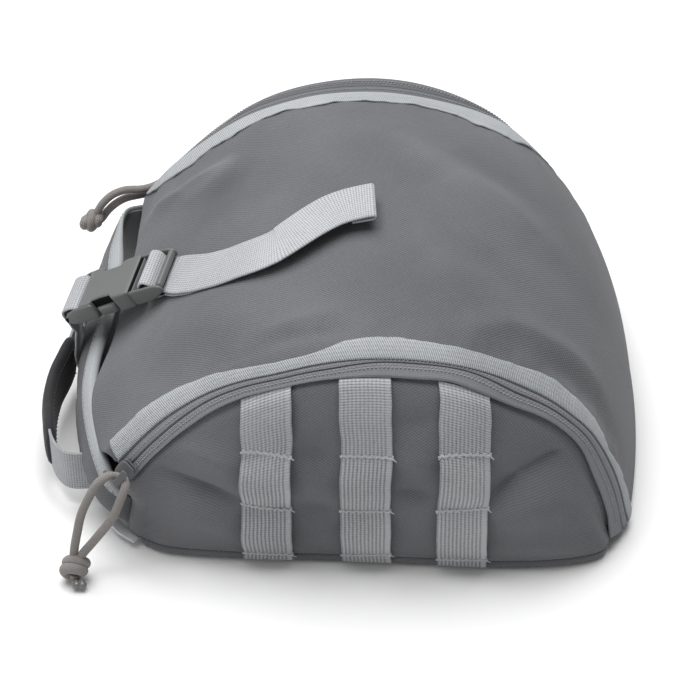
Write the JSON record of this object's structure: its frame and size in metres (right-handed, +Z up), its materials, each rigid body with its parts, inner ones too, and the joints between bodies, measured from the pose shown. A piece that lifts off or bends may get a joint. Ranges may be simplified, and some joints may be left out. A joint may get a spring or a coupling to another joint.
{
  "type": "tactical helmet bag",
  "caption": "Domed soft helmet bag of grey cloth with zipped side pockets, upright webbing strips, an end flap with a buckled closing strap and a sleeved carry handle.",
  "frame": {"origin": "middle of the flat base, on the surface the bag rests on", "axes": "+Z up, +X from the mouth with the flap and buckle to the closed end, -Y at the side panel that faces the viewer"},
  "size_m": [0.3184, 0.2792, 0.1523],
  "materials": {
    "panel_cloth": "matt woven",
    "pocket_cloth": "matt woven",
    "trim_tape": "ribbed tape",
    "zip_tape": "herringbone tape",
    "webbing": "ribbed webbing",
    "sleeve_cloth": "matt woven",
    "buckle": "fine grain",
    "slider": "satin",
    "cord": "braided"
  },
  "bodies": {
    "root": {"base_panel": "pocket_cloth", "main_panel": "panel_cloth", "trim_tape_front": "trim_tape", "trim_tape_rear": "trim_tape", "zip_front": "zip_tape", "zip_rear": "zip_tape", "side_panel_front": "pocket_cloth", "side_panel_rear": "pocket_cloth", "webbing_front_1": "webbing", "webbing_front_2": "webbing", "webbing_front_3": "webbing", "webbing_rear_1": "webbing", "webbing_rear_2": "webbing", "webbing_rear_3": "webbing", "end_flap": "panel_cloth", "flap_binding": "trim_tape", "buckle_female": "buckle", "buckle_male": "buckle", "buckle_webbing": "webbing", "closing_strap": "webbing", "handle_webbing": "webbing", "handle_sleeve": "sleeve_cloth", "corner_tab": "trim_tape", "zip_slider_front": "slider", "zip_slider_rear": "slider", "pull_cord_front": "cord", "pull_cord_rear": "cord", "pull_knot_front": "cord", "pull_knot_rear": "cord"}
  },
  "joints": []
}
